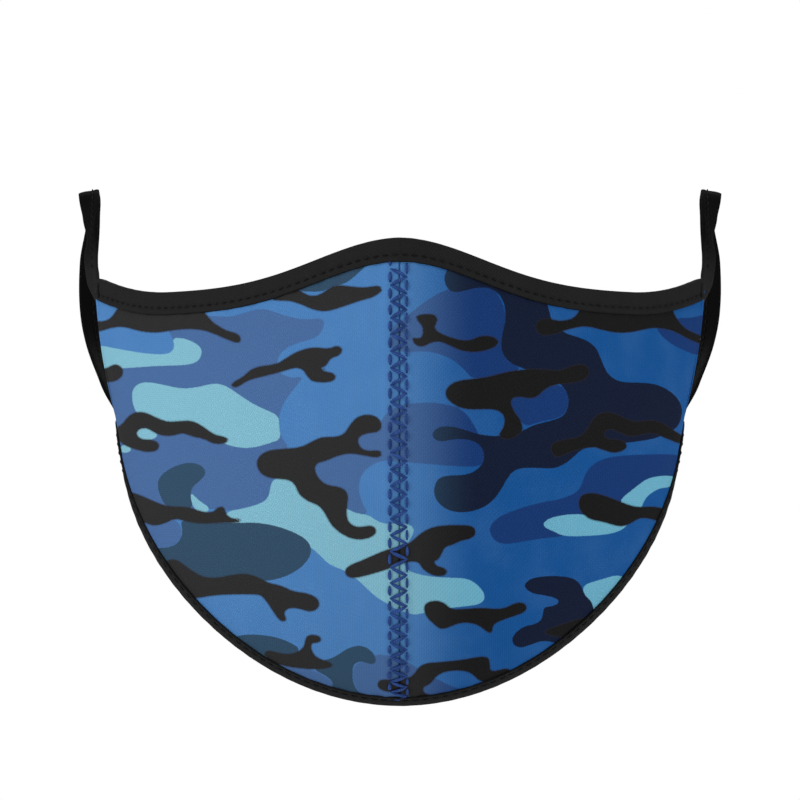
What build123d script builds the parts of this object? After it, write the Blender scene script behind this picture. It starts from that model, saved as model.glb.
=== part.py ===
from build123d import *
from math import cos, exp, pi, radians, sin
import os

# Contoured two-panel camouflage face mask with bound edges and tape ear loops.
# Millimetres. +Z is up, -Y is the front of the mask, +X is the wearer's left-hand side
# as seen by somebody facing them. X = 0 is the centre seam. The origin is the middle of
# the face seat, between the two side edges.

# ---- driving dimensions: outline of the mask seen from the front ----
top_half_width = 79.0  # centre seam to the top corner
low_half_width = 71.8  # centre seam to the lower corner
nose_height = 58.8  # panel edge at the nose, above the origin
dip_height = 45.3  # lowest part of the top edge, over the cheek
nose_spread = 30.0  # half width of the rise over the nose
corner_lift = 4.3  # rise of the top edge from the dip to the corner
lift_start = 60.0  # distance from the seam where that rise begins
low_corner_height = 8.6  # lower corner, above the origin
chin_depth = 59.6  # panel edge under the chin, below the origin
jaw_flat = 0.026  # how much flatter than an ellipse the jaw edge runs
side_bow = 1.4  # outward bow of the side edge

# ---- driving dimensions: depth of the mask seen from the side ----
seam_reach = 76.0  # seam in front of the origin, at its fullest
nose_set_back = 10.0  # how far the seam leans back at the nose bridge
nose_fade = 0.15  # share of the seam over which it leans back
chin_tuck = 40.0  # how far the seam runs back under the chin
top_corner_back = 2.0  # top corner behind the origin
low_corner_front = 8.0  # lower corner in front of the origin
side_hollow = 2.0  # forward bow of the side edge
side_turn = 72.0  # degrees that a panel turns from the seam to the side edge
under_turn = 84.0  # degrees that a panel turns from the nose to under the chin
ridge_nose = 0.45  # share of the wrap that is a straight slope, at the nose
ridge_chin = 0.30  # the same share at the chin
corner_ease = 0.16  # share of a panel over which its thickness direction settles

# ---- driving dimensions: plies, tape and thread ----
cloth = 0.7  # printed outer knit
filter_ply = 1.2  # middle filter ply
lining_ply = 0.6  # lining next to the face
ply_gap = 0.05  # air between plies
tape = 0.6  # binding tape, single
top_tape_width = 5.7  # visible width of the top binding
bottom_tape_width = 5.0  # width of the bottom binding
seam_gap = 0.3  # between the two halves
hem_width = 6.0  # turned hem down each side edge
thread = 0.5  # width of a row of stitches
thread_height = 0.3
seam_row = 2.4  # edge of the flatlock to the centre of the seam
run_inset = 3.9  # binding stitches below the folded edge

# ---- driving dimensions: ear loops ----
loop_width = 5.6
loop_thickness = 1.3  # tape folded on itself
twist_gap = 0.35  # stitches stand this far off the twisted loop tape
tack_length = 4.6
tack_width = 1.4
tack_gap = 0.45  # a flat bar tack stands this far off a curved face
tab_rows = 2  # rows of the panel grid, up from the bottom tape, to the sewn-in loop end

# Route of the right loop from its upper end to its lower end: point relative to the top
# corner (or, in the second list, to the lower corner), and roll of the tape in degrees.
loop_upper = (
    ((0.3, 3.4, -2.6), 86),
    ((0.6, 9.2, -0.4), 74),
    ((0.8, 14.2, 5.4), 60),
    ((1.2, 18.6, 13.6), 36),
    ((2.0, 24.6, 20.8), 8),
    ((2.7, 32.6, 22.4), 10),
    ((3.3, 39.4, 16.2), 44),
    ((3.6, 41.8, 5.2), 62),
    ((3.3, 38.6, -6.6), 66),
    ((1.6, 30.4, -17.6), 68),
)
loop_lower = (
    ((4.6, 17.2, 12.4), 72),
    ((0.2, 3.6, 4.2), 80),
)
loop_stations = 34

# ---- worked out from the dimensions above ----
stack = cloth + filter_ply + lining_ply + 2 * ply_gap
outer_skin = (0.0, cloth)
middle_skin = (cloth + ply_gap, cloth + ply_gap + filter_ply)
inner_skin = (stack - lining_ply, stack)
hem_skin = (stack + ply_gap, stack + ply_gap + cloth)
tab_skin = (hem_skin[1] + 2 * ply_gap, hem_skin[1] + 2 * ply_gap + 2 * tape)
tape_face = -(2 * ply_gap + tape)


def wrap(u):
    """Share of the half width reached at u, 0 at the seam and 1 at the side edge."""
    return sin(radians(side_turn) * u) / sin(radians(side_turn))


def drop(v):
    """Share of the height reached at v, 0 at the top edge and 1 at the bottom edge."""
    return sin(radians(under_turn) * v) / sin(radians(under_turn))


def top_edge(u):
    """Top edge seen from the front: a bell over the nose and a lift at the corner."""
    x = top_half_width * wrap(u)
    bell = (nose_height - dip_height) * exp(-((x / nose_spread) ** 2))
    past = max(0.0, x - lift_start) / (top_half_width - lift_start)
    return x, dip_height + bell + corner_lift * past**2


def jaw_edge(u):
    """Bottom edge seen from the front: a slightly flattened quarter ellipse."""
    turn = u * pi / 2
    flat = 1 - jaw_flat * sin(2 * turn) ** 2
    height = low_corner_height + chin_depth
    return low_half_width * flat * sin(turn), low_corner_height - height * flat * cos(turn)


def surface(u, v):
    """Point on the outside of the right panel."""
    w = drop(v)
    xt, zt = top_edge(u)
    xb, zb = jaw_edge(u)
    x = (1 - w) * xt + w * xb + u**2 * side_bow * 4 * w * (1 - w)
    z = (1 - w) * zt + w * zb
    tuck = (1 - cos(radians(under_turn) * v)) / (1 - cos(radians(under_turn)))
    seam_y = -seam_reach + chin_tuck * tuck + nose_set_back * exp(-((v / nose_fade) ** 2))
    side_y = (1 - w) * top_corner_back - w * low_corner_front - side_hollow * 4 * w * (1 - w)
    slope = ridge_nose + (ridge_chin - ridge_nose) * w
    turn = (1 - cos(radians(side_turn) * u)) / (1 - cos(radians(side_turn)))
    y = seam_y + (side_y - seam_y) * ((1 - slope) * turn + slope * wrap(u))
    return Vector(x + seam_gap / 2, y, z)


def across(u, v):
    """Direction of growing u."""
    step = 1e-4
    return surface(u + step, v) - surface(u - step, v) if u > 0 else surface(step, v) - surface(0, v)


def down(u, v):
    """Direction of growing v, with its true length for a full unit of v."""
    step = 1e-4
    return (surface(u, v + step) - surface(u, v - step)) * (0.5 / step)


def inward(u, v):
    """Unit direction into the mask. It has no sideways part at the seam, so the halves meet.

    The side and bottom edges run almost on into each other at the lower corner, so the
    direction is taken a little way in from there.
    """
    u_in = min(u, 1 - corner_ease / 2)
    v_in = v * (1 - corner_ease * u * u)
    normal = across(u_in, v_in).normalized().cross(down(u_in, v_in).normalized())
    blend = min(1.0, u / 0.08)
    return Vector(normal.X * blend * blend * (3 - 2 * blend), normal.Y, normal.Z).normalized()


def place(u, v, depth):
    """Point at a depth under the outside surface."""
    return surface(u, v) + inward(u, v) * depth


def spread(start, end, count):
    """Evenly spaced values from start to end."""
    return [start + (end - start) * i / (count - 1) for i in range(count)]


def columns():
    """Values of u for the panel grid, with one at the flatlock's edge and one at the hem."""
    band = seam_row / (across(0.01, 0.5).length / 2e-4)
    hem = 1 - hem_width / (across(0.95, 0.5).length / 2e-4)
    return [0.0] + spread(band, hem, 9) + [1.0]


def inset(u, edge_v, distance):
    """Value of v at a distance in from the top edge (edge_v 0) or the bottom edge (1)."""
    edge = surface(u, edge_v)
    near, far = edge_v, 0.5
    for _ in range(30):
        middle = (near + far) / 2
        if (surface(u, middle) - edge).length < distance:
            near = middle
        else:
            far = middle
    return far


def rows(u):
    """Values of v for the panel grid at u, with one at the edge of each tape."""
    top = inset(u, 0, top_tape_width)
    low = inset(u, 1, bottom_tape_width)
    return [0.0] + spread(top, low, 9) + [1.0]


def triangle(a, b, c):
    return Face(Wire.make_polygon([a, b, c], close=True))


def quad(a, b, c, d):
    """Two flat triangles over four corners, cut from a to c."""
    return [triangle(a, b, c), triangle(a, c, d)]


def carried(rings, caps, turned=()):
    """Closed solid through a row of rings. caps lists the four-cornered parts of each end.

    The sides in turned are cut along their other diagonal, so that two skins that face
    each other are cut alike and lie together without crossing.
    """
    faces = []
    count = len(rings[0])
    for ring, after in zip(rings, rings[1:]):
        for i in range(count):
            j = (i + 1) % count
            corners = (ring[i], ring[j], after[j], after[i])
            faces += quad(*corners[1:], corners[0]) if i in turned else quad(*corners)
    for ring in (rings[0], rings[-1]):
        for corners in caps:
            faces += quad(*[ring[i] for i in corners])
    body = Solid(Shell(faces))
    return body if body.volume > 0 else Solid(body.wrapped.Reversed())


def ply(us, row_range, depths):
    """Sheet between two depths, over some columns and rows of the panel grid."""
    rings = []
    for u in us:
        vs = rows(u)[row_range]
        outer = [place(u, v, depths[0]) for v in vs]
        inner = [place(u, v, depths[1]) for v in vs]
        rings.append(outer + inner[::-1])
    count = len(rings[0]) // 2
    last = 2 * count - 1
    caps = [(i, i + 1, last - i - 1, last - i) for i in range(count - 1)]
    return carried(rings, caps, range(count, last))


def edge_point(u, edge_v, along, depth):
    """Point at a depth, and a distance in from the top or bottom edge (negative is beyond)."""
    if along > 0:
        return place(u, inset(u, edge_v, along), depth)
    outwards = surface(u, edge_v) - surface(u, inset(u, edge_v, 1.0))
    return place(u, edge_v, depth) - outwards.normalized() * along


def channel(edge_v, width):
    """Tape folded over a panel edge: a U section carried from the seam to the side edge."""
    outside = -ply_gap
    inside = stack + ply_gap
    leg = width - ply_gap
    section = (
        (leg, outside - tape),
        (-ply_gap - tape, outside - tape),
        (-ply_gap - tape, inside + tape),
        (leg, inside + tape),
        (leg, inside),
        (-ply_gap, inside),
        (-ply_gap, outside),
        (leg, outside),
    )
    rings = [[edge_point(u, edge_v, *corner) for corner in section] for u in columns()]
    turned = (0, 4) if edge_v == 0 else (2, 6)
    return carried(rings, [(0, 1, 6, 7), (1, 2, 5, 6), (2, 3, 4, 5)], turned)


def stitch_row(edge_v, width):
    """Row of stitches along the outside of a binding."""
    rings = []
    for u in columns():
        fold = edge_point(u, edge_v, -ply_gap - tape, -ply_gap - tape)
        run = (edge_point(u, edge_v, width, -ply_gap - tape) - fold).normalized()
        out = inward(u, inset(u, edge_v, run_inset)) * -1
        out = (out - run * out.dot(run)).normalized()
        near = fold + run * (run_inset - thread / 2) + out * 2 * ply_gap
        far = near + run * thread
        rings.append([near, near + out * thread_height, far + out * thread_height, far])
    return carried(rings, [(0, 1, 2, 3)])


def loop_path():
    """Centre line of the right ear loop, with the roll of the tape at each chosen point."""
    points = [surface(1, 0) + Vector(*offset) for offset, _ in loop_upper]
    points += [surface(1, 1) + Vector(*offset) for offset, _ in loop_lower]
    return Spline(*points), [roll for _, roll in loop_upper + loop_lower]


def loop_frame(path, rolls, t):
    """Centre, width direction and face direction of the tape at t along the loop."""
    tangent = (path % t).normalized()
    sideways = Vector(1, 0, 0)
    sideways = (sideways - tangent * sideways.dot(tangent)).normalized()
    upright = tangent.cross(sideways)
    index = min(int(t * (len(rolls) - 1)), len(rolls) - 2)
    part = t * (len(rolls) - 1) - index
    roll = radians(rolls[index] + (rolls[index + 1] - rolls[index]) * part * part * (3 - 2 * part))
    width = sideways * cos(roll) + upright * sin(roll)
    return path @ t, width, tangent.cross(width)


def ribbon(low, high, start, end):
    """Strip of the ear loop, between two shares of its width and two heights off its middle."""
    path, rolls = loop_path()
    rings = []
    for t in spread(0.0, 1.0, loop_stations):
        centre, width, face = loop_frame(path, rolls, t)
        corners = ((low, start), (high, start), (high, end), (low, end))
        rings.append([centre + width * w + face * f for w, f in corners])
    return carried(rings, [(0, 1, 2, 3)])


def bar_tack(u, v, depth, side):
    """Short dense bar of stitches across the end of a tape."""
    plane = Plane(origin=place(u, v, depth), x_dir=down(u, v), z_dir=inward(u, v) * side)
    lying = Align.CENTER
    return plane * Box(tack_length, tack_width, thread_height, align=(lying, lying, Align.MIN))


# ---- right half ----
grid = columns()
all_rows = slice(0, None)
inner_rows = slice(1, -1)
last_row = len(rows(0)) - 2
tab_slice = slice(last_row - tab_rows, last_row - tab_rows + 2)
tab_v = sum(rows(0.95)[tab_slice]) / 2
tack_u = (grid[-2] + 1) / 2
loop_face = loop_thickness / 2
loop_top = loop_face + twist_gap
loop_stitches = (-loop_width / 5 - thread / 2, -loop_width / 5 + thread / 2)
looper_skin = (stack + ply_gap, stack + ply_gap + thread_height)

right = {
    "outer_panel": ply(grid, all_rows, outer_skin),
    "filter_layer": ply(grid, all_rows, middle_skin),
    "lining": ply(grid, all_rows, inner_skin),
    "top_binding": channel(0, top_tape_width),
    "bottom_binding": channel(1, bottom_tape_width),
    "side_hem": ply(grid[-2:], inner_rows, hem_skin),
    "loop_tab": ply(grid[-2:], tab_slice, tab_skin),
    "top_binding_stitching": stitch_row(0, top_tape_width),
    "bottom_binding_stitching": stitch_row(1, bottom_tape_width),
    "seam_stitching": ply(grid[:2], inner_rows, (-ply_gap - thread_height, -ply_gap)),
    "seam_looper_stitching": ply(grid[:2], inner_rows, looper_skin),
    "bar_tack": [
        bar_tack(tack_u, tab_v, tab_skin[1] + tack_gap, 1),
        bar_tack(tack_u, rows(tack_u)[1] / 2, tape_face - tack_gap, -1),
    ],
    "ear_loop": ribbon(-loop_width / 2, loop_width / 2, -loop_face, loop_face),
    "ear_loop_stitching": ribbon(*loop_stitches, loop_top, loop_top + thread_height),
}

# ---- both halves, one file for each node ----
os.makedirs("parts", exist_ok=True)
for name, shape in right.items():
    solids = shape if isinstance(shape, list) else [shape]
    for side, twins in (("right", solids), ("left", [s.mirror(Plane.YZ) for s in solids])):
        node = twins[0] if len(twins) == 1 else Compound(children=twins)
        export_step(node, f"parts/{name}_{side}.step")
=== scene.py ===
from math import pi

import bpy
import numpy as np
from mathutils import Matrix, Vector


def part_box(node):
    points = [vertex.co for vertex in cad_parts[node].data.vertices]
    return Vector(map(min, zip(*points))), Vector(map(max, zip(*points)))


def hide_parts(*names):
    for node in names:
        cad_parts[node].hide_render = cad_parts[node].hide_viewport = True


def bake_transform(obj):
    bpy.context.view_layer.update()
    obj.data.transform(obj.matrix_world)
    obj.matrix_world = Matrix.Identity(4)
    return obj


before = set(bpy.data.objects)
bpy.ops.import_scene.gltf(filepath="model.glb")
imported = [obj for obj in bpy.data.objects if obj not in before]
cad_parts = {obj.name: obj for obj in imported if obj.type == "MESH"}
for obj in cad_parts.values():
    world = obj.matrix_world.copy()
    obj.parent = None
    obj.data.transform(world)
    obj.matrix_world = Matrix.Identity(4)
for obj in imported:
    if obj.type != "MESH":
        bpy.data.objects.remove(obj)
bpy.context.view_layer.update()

bl_info = {
    "name": "Camouflage face mask",
    "version": (1, 0, 0),
    "blender": (4, 5, 0),
    "location": "View3D > Sidebar > Mask",
    "description": "Sews the cloth, tape, threads and print of a two-panel face mask",
    "category": "Add Mesh",
}

# Shapes are worked out in millimetres and put into meshes in metres.
MM = 0.001
PANEL_LOW, PANEL_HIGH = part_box("outer_panel_right")
TOP_WIDTH = PANEL_HIGH[0] / MM - 0.15
NOSE_HEIGHT = PANEL_HIGH[2] / MM
CHIN_DEPTH = -PANEL_LOW[2] / MM

# Outline seen from the front.
LOW_WIDTH = 71.8
DIP_HEIGHT = 45.3
NOSE_SPREAD = 30.0
CORNER_LIFT = 4.3
LIFT_START = 60.0
LOW_CORNER_HEIGHT = 8.6
JAW_FLAT = 0.026
SIDE_BOW = 1.4
# Depth seen from the side.
SEAM_REACH = 76.0
NOSE_SET_BACK = 10.0
NOSE_FADE = 0.15
CHIN_TUCK = 40.0
TOP_CORNER_BACK = 2.0
LOW_CORNER_FRONT = 8.0
SIDE_HOLLOW = 2.0
SIDE_TURN = np.radians(72.0)
UNDER_TURN = np.radians(84.0)
RIDGE_NOSE = 0.45
RIDGE_CHIN = 0.30
CORNER_EASE = 0.16
# Plies, tape and thread.
CLOTH = 0.7
FILTER_PLY = 1.2
LINING_PLY = 0.6
PLY_GAP = 0.05
STACK = CLOTH + FILTER_PLY + LINING_PLY + 2 * PLY_GAP
TAPE = 0.6
TOP_TAPE_WIDTH = 5.7
BOTTOM_TAPE_WIDTH = 5.0
HEM_WIDTH = 6.0
SEAM_ROW = 2.15
SEAM_GAP = -0.015
RUN_PITCH = 2.6
RUN_LENGTH = 1.9
RUN_INSET = 3.9
SEAM_PITCH = 4.3
SEAM_THREAD = 0.95
TAPE_THREAD = 0.36
THREAD_SIDES = 6
YARN_PITCH = 0.45
# Grid of each ply as (columns from seam to side, rows from top to jaw), and stations of the rest.
PANEL_GRID = (150, 180)
FILTER_GRID = (60, 80)
LINING_GRID = (100, 130)
TAPE_STATIONS = 241
LOOP_STATIONS = 220
ROUTE_STATIONS = 400

# Route of the right loop, from the top corner round the ear to the lower corner: point
# relative to the corner, and roll of the tape in degrees.
LOOP_UPPER = (
    ((-3.8, -2.9, -5.2), 90), ((-0.6, 0.2, -3.4), 84), ((1.0, 3.8, 0.8), 62), ((1.6, 8.2, 6.8), 54),
    ((1.5, 13.4, 12.4), 66), ((2.0, 19.4, 17.6), 44), ((2.7, 26.0, 22.2), 12), ((2.9, 33.6, 22.4), 12),
    ((2.1, 38.8, 15.6), 56), ((3.3, 41.0, 4.6), 40), ((3.3, 38.4, -6.6), 40), ((1.6, 30.4, -17.6), 46),
)
LOOP_LOWER = (((4.4, 17.2, 12.4), 52), ((0.6, 4.6, 5.0), 70), ((-2.6, -4.6, 1.0), 84))
LOOP_WIDTH = 5.6
LOOP_THICKNESS = 1.3
LOOP_GROOVE = LOOP_WIDTH / 5

# The print, as closed outlines in millimetres on the front view: (from the seam, up).
PRINT_MID = (
    ((-60, 41), (-44.2, 39.2), (-40.5, 40.2), (-36.3, 41.5), (-33.5, 41.2), (-29.5, 39.7), (-24.5, 38.5),
     (-19.1, 39.1), (-19.4, 36.3), (-21.1, 33.9), (-26.7, 32.5), (-30.1, 30.6), (-31.4, 27.8), (-30.7, 25),
     (-27.3, 23.7), (-24.2, 24.3), (-26.7, 21.3), (-29.3, 17.9), (-30.7, 14.6), (-30.7, 11.4),
     (-30.1, 8.6), (-28.1, 6.3), (-30, 2), (-32.1, -1.9), (-32.9, -3.6), (-33.3, -6.4), (-35.2, -8.1),
     (-40, -9.5), (-44.4, -10.1), (-48.2, -9.5), (-60, -10), (-69.2, -7), (-76, -5), (-80, 10),
     (-80, 25), (-71, 26.6), (-60, 27.2), (-53, 29.5), (-57.7, 31.8), (-58.5, 34.3), (-60, 37)),
    ((0, 17), (-3.5, 15), (-6, 11), (-12, 9.5), (-21.5, 2.5), (-21.7, 0), (-20, -3), (-17, -4.5),
     (-14, -5), (-13, -8), (-13.5, -9.5), (-11.2, -10.6), (-7.8, -10.8), (-9.6, -8), (-10.6, -4),
     (-9.8, -0.5), (-7, 2), (-4, 3), (0, 2.6), (7, 2), (19.7, 1), (22, 3), (20, 10), (16, 16),
     (11.3, 17.2), (7, 17.7)),
    ((-2.8, 36), (1.7, 39.4), (6.5, 43.3), (11.3, 46.1), (18.3, 48), (24, 47), (27.1, 40.5),
     (26.5, 36.6), (25.5, 32.6), (26.5, 28.4), (31, 26.4), (28.2, 24.7), (24, 23.9), (18, 23.6),
     (16.9, 25.3), (13.5, 28.4), (9.3, 30.1), (5.6, 30.6), (1.7, 30.1), (-2.6, 31)),
    ((-34.5, -47.5), (-28, -49.6), (-21.7, -50.9), (-17.4, -53.4), (-17.2, -54.9), (-18, -57),
     (-26, -58), (-36, -52)),
    ((-6.5, -46.4), (-3, -46.8), (0, -47.3), (2, -48.5), (4.5, -50), (6, -52), (9.3, -52.9),
     (13, -54.9), (17, -56.3), (17, -60), (0, -63), (-10, -62), (-8, -58.5), (-11, -56),
     (-12.2, -53), (-12, -50), (-10, -48.2), (-7, -49)),
    ((-66.3, -13.3), (-62.6, -14.3), (-60.1, -13.6), (-57.5, -12.2), (-55.6, -15.1), (-56.8, -18.4),
     (-59.3, -19.7), (-62.3, -19.7), (-68, -18)),
    ((22.6, -14.6), (23.4, -12.9), (25.4, -11.3), (28.2, -10.1), (32.4, -8.7), (36.7, -7.7),
     (40.7, -7.1), (45, -5.5), (46.3, -3.5), (47.6, 0.2), (50.2, 2.5), (53.8, 3.7), (60.3, 4.2),
     (70.8, 4.3), (75, 3), (74, -3), (65, -5), (55.7, -9), (46.3, -14), (41.7, -16.6),
     (37.4, -16.9), (32.5, -17.6), (27.6, -18.4), (25.4, -18.3), (23.4, -16.9)),
    ((71.5, 39.5), (75.4, 39.4), (79.4, 40.6), (82, 38), (80, 34.5), (76, 34.5), (73.2, 36),
     (71.6, 37.6)),
    ((65.6, 37.6), (72.6, 35), (78.3, 33.6), (81, 31), (77.1, 29.7), (74, 30.7), (69.8, 32.7), (67, 35)),
    ((27.9, 17.7), (28.5, 18.8), (31, 19.1), (33.6, 18.6), (35.5, 19.9), (37.8, 21.6), (40.9, 22.2),
     (42.6, 20.2), (43.1, 17.4), (42, 14.6), (39.5, 13.4), (35.3, 12.6), (31.6, 11.2), (28.2, 16.2)),
)
PRINT_LIGHT = (
    ((-77.6, 32.4), (-73, 31.4), (-65.4, 30.1), (-59.3, 29.8), (-57.7, 31.8), (-58.5, 34.3), (-54.7, 33.9),
     (-51.3, 32.2), (-50.5, 30.3), (-51.6, 28), (-54.7, 27.1), (-61.6, 27), (-71.1, 26.4), (-76.2, 26.3),
     (-82, 27), (-82, 32)),
    ((-69.2, 20), (-68, 22.1), (-65.4, 22.9), (-61.6, 22.3), (-56.2, 21.1), (-52.4, 21.3), (-47.1, 22.6),
     (-44, 21.7), (-38.6, 17.9), (-34.9, 16), (-30.7, 14.3), (-30.7, 11.4), (-30.2, 8.3), (-32.9, 7.3),
     (-36.6, 6.2), (-40, 5.9), (-44.8, 6.9), (-48.2, 9.7), (-53.9, 11.6), (-61.5, 12), (-65.4, 13.3),
     (-68.4, 15.3)),
    ((-68.4, 9.7), (-65.9, 11.4), (-63.8, 10.6), (-61.7, 9.1), (-64.6, 7.6), (-67.6, 8.2)),
    ((-71.4, 6.9), (-68.8, 5.9), (-70.3, 4.4), (-73, 5)),
    ((-44.2, -10.2), (-40, -9.5), (-35.2, -8.1), (-33.3, -6.4), (-32.9, -3.6), (-32.1, -1.9),
     (-28.4, -1), (-21.6, -7.8), (-13.6, -9.2), (-11.2, -10.5), (-7.8, -10.9), (-5.6, -12.6),
     (-3.3, -13.2), (0, -12.9), (1.7, -13.1), (3.8, -14.1), (2.8, -16.9), (1.2, -19), (0.8, -24.6),
     (5.6, -26.3), (11.3, -26.9), (16.9, -27), (19.6, -28.6), (21.6, -31.1), (21.2, -33.2),
     (19.1, -34), (13.3, -34.5), (5.8, -35.9), (3.7, -36.3), (1.9, -35.9), (-0.6, -35.1),
     (-3.1, -33.6), (-6.6, -31.4), (-9.4, -28.6), (-11.2, -27), (-14, -25), (-18, -23.6),
     (-20.2, -21.3), (-22.4, -19.3), (-30, -15), (-41.4, -14), (-44.5, -12.4)),
    ((-53.8, -5), (-51.6, -7.4), (-48.2, -9.5), (-50.1, -11), (-53, -9.6)),
    ((36.3, -13.3), (38.1, -11.8), (42.3, -11), (46.3, -10.9), (54, -12), (58.7, -13.4), (57, -15.1),
     (53.8, -16.1), (48.9, -16.5), (41.7, -16.6), (39.1, -15.2), (37.1, -14.4)),
    ((55.7, -7.8), (60, -4.5), (62.6, -2.5), (65.2, -1.5), (69.8, -1.2), (73, -2.6), (69.5, -4.3),
     (66.8, -4.5), (63.9, -6.1), (62.6, -7.8), (61.9, -9.8), (59, -10)),
    ((46.7, -29.2), (50.8, -28), (57, -26.4), (60, -30), (50, -37), (49.2, -34), (47.2, -32)),
)
PRINT_DARK = (
    ((-26.2, 46.4), (-24.5, 45.7), (-19.4, 45.7), (-17.4, 47), (-13.7, 47.7), (-10.4, 50.4), (-7.8, 53.2),
     (-9, 57), (-20, 55), (-29, 50)),
    ((-62.3, -3.6), (-61.6, -1.3), (-58.5, 1), (-53.9, 2.4), (-50.5, 1.5), (-49.4, -0.4), (-50.9, -2.3),
     (-53.2, -4), (-53.7, -6.7), (-52.8, -9.3), (-55.8, -10), (-59.8, -9.6), (-61.7, -6.3)),
    ((-56.4, -12.2), (-50.6, -13), (-42.6, -13.2), (-36, -12.9), (-29.8, -14.2), (-24.3, -16.6),
     (-22.4, -19.1), (-22.9, -22), (-26.1, -25.3), (-31.6, -27.7), (-37.1, -28), (-49.1, -29),
     (-57.2, -25), (-64, -21.5), (-62.6, -19.8), (-59.3, -19.7), (-56.8, -18.4), (-55.6, -15.6)),
    ((-41.8, -42.1), (-37.1, -41.7), (-31.6, -42.3), (-28, -43.7), (-25.2, -45.4), (-28, -47.8),
     (-34.9, -47.2), (-42, -50), (-46, -45)),
    ((-6.2, -47.1), (-6.1, -48.7), (-7.2, -49.2), (-8.8, -48.7), (-10, -48.3), (-11.8, -49.1),
     (-12.2, -51.2), (-12, -54), (-10.9, -56.2), (-8.8, -57.5), (-7.7, -58.8), (-9, -62), (-20, -62),
     (-18, -56.4), (-17.2, -54.9), (-17.4, -53.4), (-19.5, -51.9), (-21.7, -50.9), (-22, -49),
     (-18.5, -48), (-16.3, -47.1), (-13.9, -45.4), (-12.2, -44.6), (-10, -44.2), (-7.7, -45.2)),
    ((11, 49), (11.8, 50.9), (13, 53), (20, 56), (36, 49), (37.4, 43.3), (38.2, 40.5), (38.5, 38.8),
     (41.6, 35.4), (45, 34.4), (48.1, 33.3), (50.1, 31.6), (51.2, 29.3), (52.3, 26.2), (54, 24),
     (56.8, 22.7), (61.3, 22.7), (65.3, 22.4), (68.7, 21.1), (71.5, 18.9), (73, 16.1), (72.6, 13),
     (71.2, 10.7), (66.1, 8.4), (61.3, 7.6), (58.2, 7.3), (49.8, 6.2), (46.7, 5.9), (43.9, 3.4),
     (41.7, 1.7), (38.9, 0.7), (33.8, 1), (30.5, 0.9), (28.5, 0), (27.1, -1.9), (25.4, -5),
     (23.1, -7.9), (19.7, -9.7), (15.8, -10.4), (12.1, -9.8), (9.3, -7.6), (8.4, -4.8), (9.3, -1.9),
     (11.3, -0.9), (16.9, -0.8), (19.7, 0.6), (21.4, 2.8), (21.2, 5.4), (19.7, 7.4), (16.9, 8.3),
     (13.5, 8.3), (10.4, 7.6), (8.5, 8.3), (8, 9.6), (9.3, 11.2), (12.1, 11.7), (15.8, 10.9),
     (19.7, 9.5), (24.8, 8.9), (31, 10.2), (33.8, 11.9), (40.3, 13.4), (42.3, 14.8), (43.1, 17.9),
     (42.3, 20.8), (40, 23), (36, 24), (31.5, 26.2), (28.8, 27.1), (26.2, 29.2), (25.5, 32.3),
     (26.2, 36), (26.9, 38.8), (26.6, 42.8), (24.8, 45.6), (22.3, 46.8), (19.2, 46.7), (16.4, 45.9),
     (14.1, 45.4), (12.1, 46.1)),
    ((31.6, -28.8), (33.2, -27.3), (36.5, -26.7), (40.7, -26.7), (44.3, -27.3), (46.3, -29),
     (47.2, -31.7), (49.5, -33.8), (50, -38), (44, -46), (39.3, -43.8), (36.3, -43.4), (33.4, -44.4),
     (31, -45.2), (29.2, -44.6), (28.4, -42.8), (29.7, -40.9), (31.8, -39.5), (34.5, -39.1),
     (36.1, -38), (36.6, -36.1), (36.6, -34.8), (38.5, -34.5), (40.3, -34), (40.6, -33),
     (39.3, -32.2), (36.6, -31.6), (34, -31.2), (32.1, -30)),
)
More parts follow.
